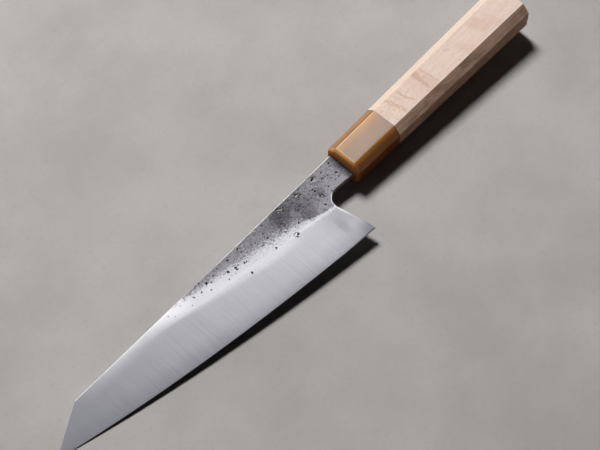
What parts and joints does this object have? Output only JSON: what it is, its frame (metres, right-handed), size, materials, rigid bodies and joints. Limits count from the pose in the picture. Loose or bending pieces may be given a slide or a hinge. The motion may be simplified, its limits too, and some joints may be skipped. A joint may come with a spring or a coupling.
{
  "type": "kiritsuke knife",
  "caption": "Long kitchen knife with an angled tip, a dark forged blade ground bright along its edge, and a tapered octagonal wooden handle behind a horn ferrule.",
  "frame": {"origin": "middle of the knife's footprint as it lies on its right side, at the height of the handle's lowest point", "axes": "+X along the handle from the tip to the butt, +Y from the cutting edge to the spine, +Z out of the blade's left face"},
  "size_m": [0.3745, 0.0532, 0.0218],
  "materials": {
    "steel": "forge-dark flats, satin ground bevel and polished edge",
    "horn": "polished blonde horn, amber where it is thin or shaded",
    "maple": "pale figured maple, oiled satin",
    "dowel_wood": "plain hardwood, unseen",
    "resin": "cured bedding resin, unseen"
  },
  "bodies": {
    "root": {"blade": "steel", "ferrule": "horn", "dowel": "dowel_wood", "handle": "maple", "tang_bedding": "resin"}
  },
  "joints": []
}
